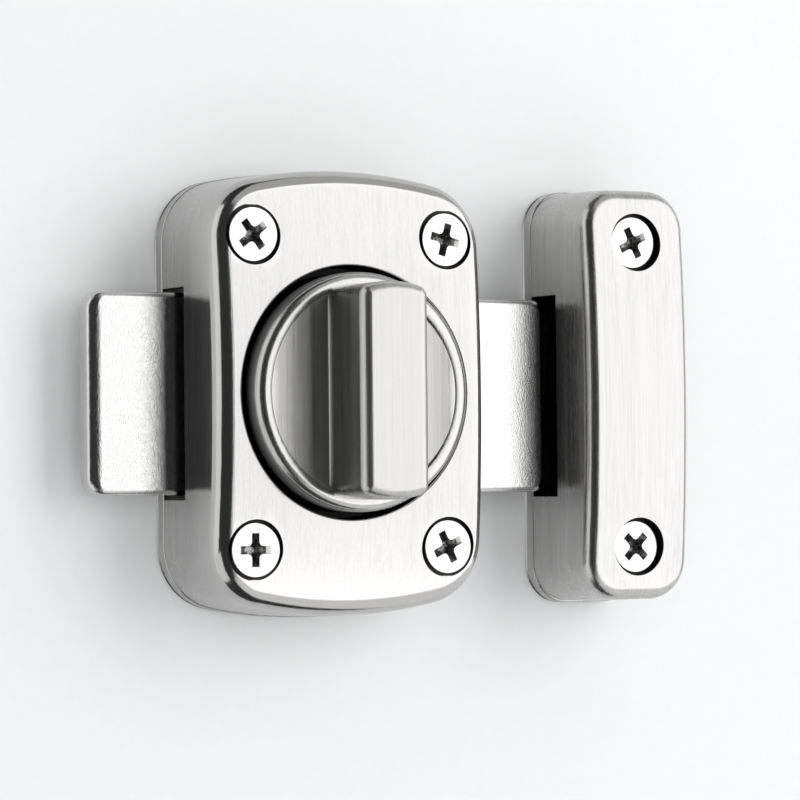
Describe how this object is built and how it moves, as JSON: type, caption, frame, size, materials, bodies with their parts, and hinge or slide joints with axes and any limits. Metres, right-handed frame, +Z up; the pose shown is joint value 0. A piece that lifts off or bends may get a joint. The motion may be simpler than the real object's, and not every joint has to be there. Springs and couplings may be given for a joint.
{
  "type": "toggle bolt latch",
  "caption": "Surface door latch: a turn knob on a round-cornered case slides a flat bolt sideways into a separate narrow keeper; both screw to the door from the front.",
  "frame": {"origin": "centre of the case's back face, on the knob's axis, where it lies on the door", "axes": "+X towards the keeper, +Y into the door, +Z up the door; the latch's front faces -Y"},
  "size_m": [0.0969, 0.055, 0.0664],
  "materials": {
    "satin_nickel_case": "brushed satin nickel with polished edges",
    "satin_nickel_knob": "brushed satin nickel",
    "bright_nickel_bolt": "bright nickel over a tumbled surface",
    "bright_screw": "bright plated",
    "sintered_bronze": "sintered, oil filled",
    "spring_steel": "blued strip",
    "zinc_plated_steel": "zinc plated",
    "hardened_pin": "turned and hardened",
    "acetal": "moulded natural acetal"
  },
  "bodies": {
    "case": {"body_back_plate": "satin_nickel_case", "body_cover": "satin_nickel_case", "knob_bush": "sintered_bronze", "wave_washer": "spring_steel", "detent_spring": "spring_steel", "upper_bolt_guide": "acetal", "lower_bolt_guide": "acetal", "case_screw_top": "bright_screw", "case_screw_bottom": "bright_screw", "body_screw_top_left": "bright_screw", "body_screw_top_right": "bright_screw", "body_screw_bottom_left": "bright_screw", "body_screw_bottom_right": "bright_screw", "keeper_cover": "satin_nickel_case", "keeper_back_plate": "satin_nickel_case", "keeper_screw_top": "bright_screw", "keeper_screw_bottom": "bright_screw"},
    "knob": {"knob": "satin_nickel_knob", "crank_disc": "zinc_plated_steel", "crank_pin": "hardened_pin", "knob_screw": "bright_screw"},
    "bolt": {"bolt": "bright_nickel_bolt"}
  },
  "joints": [
    {"name": "knob_turn", "type": "hinge", "parent": "case", "child": "knob", "pos_m": [0, 0, 0], "axis": [0, 1, 0], "range_deg": [0, 90]},
    {"name": "bolt_slide", "type": "slide", "parent": "case", "child": "bolt", "axis": [1, 0, 0], "range_m": [0, 0.0135]}
  ],
  "couplings": [
    {"joint": "knob_turn", "follows": "bolt_slide", "rad_per_m": 116.3}
  ]
}
